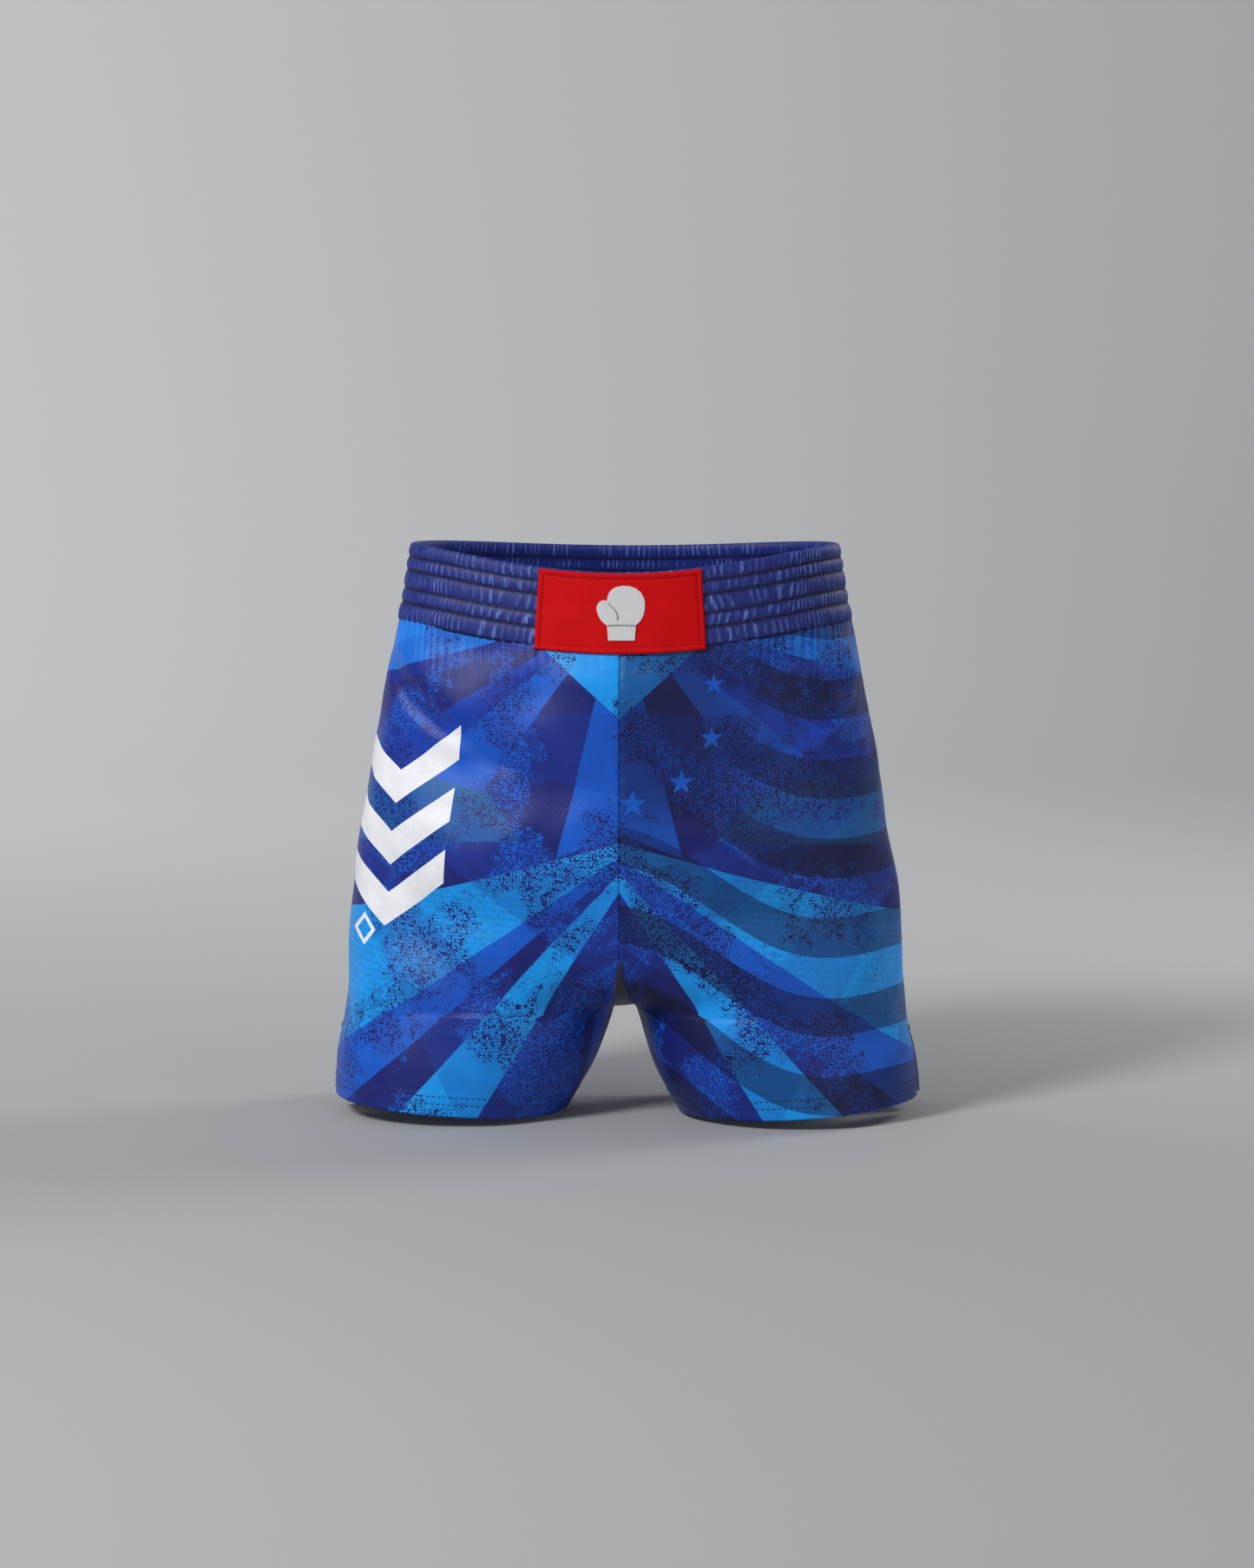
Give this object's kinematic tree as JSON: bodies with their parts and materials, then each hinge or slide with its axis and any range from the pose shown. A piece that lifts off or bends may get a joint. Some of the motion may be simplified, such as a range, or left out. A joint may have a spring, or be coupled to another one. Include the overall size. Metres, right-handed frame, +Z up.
{
  "type": "boxing shorts",
  "caption": "Mid-thigh satin boxing shorts with a deep gathered elastic waistband, a front label, a crotch gusset, hemmed legs and a vent at the foot of each side seam.",
  "frame": {"origin": "middle of the waist opening, level with the top of the band at the sides", "axes": "+Z up as worn, front of the shorts towards -Y, wearer's left towards +X"},
  "size_m": [0.5008, 0.2229, 0.4838],
  "materials": {
    "printed_satin": "polyester satin knit, sublimation printed in blues, soft sheen",
    "gusset_cloth": "plain dark navy stretch knit",
    "band_cloth": "navy satin knit, shirred over elastic",
    "elastic": "woven elastic webbing",
    "band_thread": "dark navy polyester thread",
    "hem_thread": "dark grey polyester thread",
    "overlock_thread": "overlocked seam allowance, navy thread",
    "label_cloth": "red woven label, close matt weave",
    "label_thread": "red polyester thread",
    "badge_embroidery": "white satin-stitch embroidery"
  },
  "bodies": {
    "root": {"left_front_panel": "printed_satin", "right_front_panel": "printed_satin", "front_rise_seam": "overlock_thread", "left_back_panel": "printed_satin", "right_back_panel": "printed_satin", "back_rise_seam": "overlock_thread", "crotch_gusset": "gusset_cloth", "left_side_seam": "overlock_thread", "right_side_seam": "overlock_thread", "left_inseam": "overlock_thread", "right_inseam": "overlock_thread", "left_hem_stitch_lower": "hem_thread", "right_hem_stitch_lower": "hem_thread", "left_hem_stitch_upper": "hem_thread", "right_hem_stitch_upper": "hem_thread", "left_vent_bartack": "hem_thread", "right_vent_bartack": "hem_thread", "waistband_casing": "band_cloth", "elastic_strip_1": "elastic", "elastic_strip_2": "elastic", "elastic_strip_3": "elastic", "elastic_strip_4": "elastic", "elastic_strip_5": "elastic", "channel_stitch_1": "band_thread", "channel_stitch_2": "band_thread", "channel_stitch_3": "band_thread", "channel_stitch_4": "band_thread", "waistband_join_stitch": "band_thread", "front_label": "label_cloth", "front_label_stitch": "label_thread", "front_label_badge": "badge_embroidery"}
  },
  "joints": []
}
